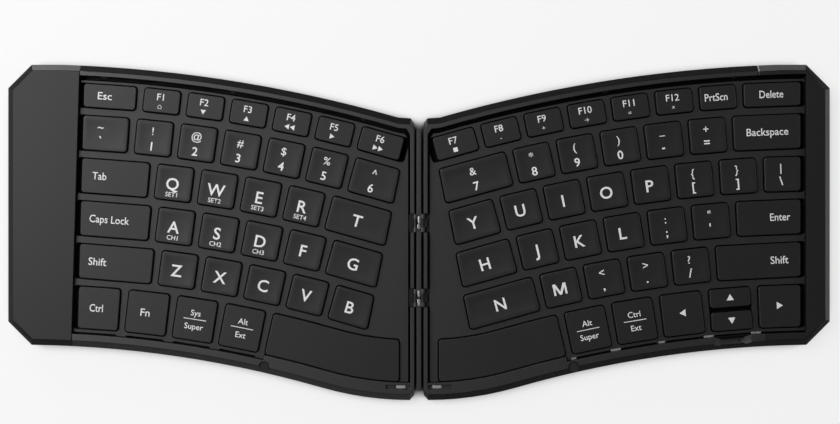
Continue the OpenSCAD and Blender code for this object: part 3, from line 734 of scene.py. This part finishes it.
def print_legend(legend, centre):
    """The marks of one cap, laid just above it and turned with its row."""
    side = side_of(centre)
    turn = Matrix.Rotation(side * fan_place(centre)[1], 4, "Z")
    place = Matrix.Translation((centre.x, centre.y, cap_top + mm)) @ turn
    if "/" in legend and len(legend) > 3:
        upper, lower = legend.split("/")
        rule = ((0, 0), (1, 0), (1, 1), (0, 1))
        thick = rule_thick * font_capital
        return [
            lay_mark(text_mark(upper, semi_bold), place, *over_rule, middle=0),
            lay_mark(drawn_mark(rule), place, thick, 0, ends=rule_ends),
            lay_mark(text_mark(lower, semi_bold), place, *under_rule, middle=0),
        ]
    if legend[0] in "▶◀":
        return [lay_mark(text_mark(legend, semi_bold), place, *side_arrow, middle=0)]
    if legend[0] in "▲▼":
        return [lay_mark(text_mark(legend, semi_bold), place, *split_arrow, middle=0)]
    if " " in legend and len(legend) == 3:
        upper, lower = legend.split()
        middle = tilde_middle if upper == "~" else middle_shift
        upper_line = underscore_line if upper == "_" else sign_line
        lower_line = digit_line if lower.isdigit() else lower_sign_line
        return [
            lay_mark(text_mark(upper, semi_bold), place, *upper_line, middle=middle),
            lay_mark(text_mark(lower, bold), place, *lower_line, middle=middle),
        ]
    if legend[0] == "F" and legend[1:].isdigit():
        return [
            lay_mark(text_mark(legend, semi_bold), place, *top_row_line),
            lay_mark(text_mark(second_marks[legend], 0), place, *top_row_icon),
        ]
    if len(legend) == 1:
        shape = letter_m() if legend == "M" else text_mark(legend, bold)
        marks = [lay_mark(shape, place, *letter_line)]
        if legend in second_marks:
            marks.append(lay_mark(text_mark(second_marks[legend], semi_bold), place, *sub_line))
        return marks
    ends = shift_ends[side] if legend == "Shift" else word_ends[legend]
    return [lay_mark(text_mark(legend, semi_bold), place, *word_line, ends=ends)]


ink_white = ink_finish()
for node, places in cap_places.items():
    marks = [mark for centre, legend in places if legend for mark in print_legend(legend, centre)]
    if not marks:
        continue
    bpy.ops.object.select_all(action="DESELECT")
    for mark in marks:
        mark.select_set(True)
    printed = bpy.context.view_layer.objects.active = marks[0]
    if len(marks) > 1:
        bpy.ops.object.join()
    printed.name = node + ("_legend" if len(places) == 1 else "_legends")
    pressed = printed.modifiers.new("pressed", "SHRINKWRAP")
    pressed.wrap_method = "PROJECT"
    pressed.use_project_z = True
    pressed.use_positive_direction = False
    pressed.use_negative_direction = True
    pressed.target = cap_pieces[node]
    bpy.ops.object.modifier_apply(modifier=pressed.name)
    inked = printed.modifiers.new("inked", "SOLIDIFY")
    inked.thickness = ink_depth
    inked.offset = ink_sunk
    bpy.ops.object.modifier_apply(modifier=inked.name)
    finish_piece(printed, ink_white, node, None)

# Rim rails: the curved back and front rails of each half, joined along the hinge and screwed to the
# tray. They are moulded in black plastic, with a slope all round and a crisp flat strip on top.
rim_edge = 0.0002
rim_black = moulded_plastic("rim_black", (0.0125, 0.0125, 0.013), 0.46, sheen=0.6, wear=2)
# Lit and shaded copies of the rail plastic for the slopes: a darker one with less sheen as painted shade,
# a middle one as lighter painted shade, and a much lighter one as a painted highlight.
slope_painted_shade = moulded_plastic("slope_painted_shade", (0.005, 0.005, 0.0052), 0.3, sheen=0.12, wear=0.6)
slope_painted_half_shade = moulded_plastic("slope_painted_half_shade", (0.011, 0.011, 0.0115), 0.35, sheen=0.3, wear=0.8)
slope_painted_highlight = moulded_plastic("slope_painted_highlight", (0.05, 0.05, 0.051), 0.42, sheen=0.7, wear=2)


def paint_slopes(piece, material, wanted=lambda normal: True):
    """Paints light or shade onto the slopes round a piece's rim, or onto those for which wanted(normal)
    holds, by giving them another material.
    """
    piece.data.materials.append(material)
    for face in piece.data.polygons:
        if 0.5 < face.normal.z < 0.9 and face.area > 1e-6 and wanted(face.normal):
            face.material_index = len(piece.data.materials) - 1


for side in ("left", "right"):
    rail = copy_of(side + "_rim_rail", side + "_rail")
    round_edges(rail, lambda ends, normals: min(p.z for p in ends) > rim_top - 1e-5, rim_edge)
    finish_piece(rail, rim_black, side + "_half", "rim_black", side + "_rim_rail")
    # Painted shade on all the rail's slopes; on the left rail the front slopes get the lighter painted
    # shade.
    paint_slopes(rail, slope_painted_shade)
    if side == "left":
        paint_slopes(rail, slope_painted_half_shade, lambda normal: normal.y < 0)

# End pieces: the left end cover is the lid over the battery and the board, painted satin black. The
# right end cap is a C-shaped moulding that closes the other end, with a highlight painted on a narrow
# bevel along its back seam.
cover_black = moulded_plastic("cover_black", (0.0095, 0.0095, 0.01), 0.45, sheen=0.34, grain=3500, wear=2)
end_black = moulded_plastic("end_black", (0.009, 0.009, 0.0095), 0.46, sheen=0.35, grain=3500, wear=2)
cover = copy_of("left_end_cover", "left_cover")
round_edges(cover, lambda ends, normals: min(p.z for p in ends) > rim_top - 1e-5, rim_edge)
finish_piece(cover, cover_black, "left_half", "case_black", "left_end_cover")
# Painted shade on the cover's slopes, and a painted highlight on its back chamfer.
paint_slopes(cover, slope_painted_shade)
paint_slopes(cover, slope_painted_highlight, lambda normal: normal.y > 0.6)
end_cap = copy_of("right_end_cap", "right_cap")
seam_bevel = 0.0005
seam_x = 0.1402
seam_y = 0.06
seam_low = 0.0055


def at_back_seam(point):
    return point.y > seam_y and point.x < seam_x and point.z > seam_low


round_edges(end_cap, lambda ends, normals: all(map(at_back_seam, ends)), seam_bevel, 1)
round_edges(end_cap, lambda ends, normals: min(p.z for p in ends) > rim_top - 1e-5, rim_edge)
pick_faces(end_cap, lambda face: face.center.z > rim_top - 1e-5 and len(face.vertices) > 6)
bpy.ops.mesh.delete(type="ONLY_FACE")
bpy.ops.mesh.select_mode(type="EDGE")
bpy.ops.mesh.select_non_manifold()
bpy.ops.mesh.fill()
bpy.ops.object.mode_set(mode="OBJECT")
finish_piece(end_cap, end_black, "right_half", "rim_black", "right_end_cap")
# Painted shade on the cap's slopes, and a painted highlight on its right and back chamfers.
paint_slopes(end_cap, slope_painted_shade)
paint_slopes(end_cap, slope_painted_highlight, lambda normal: normal.x > 0.6 or normal.y > 0.6)
# Painted highlight: light grey on the seam bevel's faces that look left and up, towards the big lamp.
seam_painted_highlight = moulded_plastic("seam_painted_highlight", (0.3, 0.3, 0.3), 0.4)
end_cap.data.materials.append(seam_painted_highlight)
for face in end_cap.data.polygons:
    painted_bright = face.normal.x < -0.3 and face.normal.z > 0.2 and face.center.z < rim_top - seam_bevel
    if painted_bright and face.center.y > seam_y and face.center.x < seam_x + seam_bevel:
        face.material_index = len(end_cap.data.materials) - 1
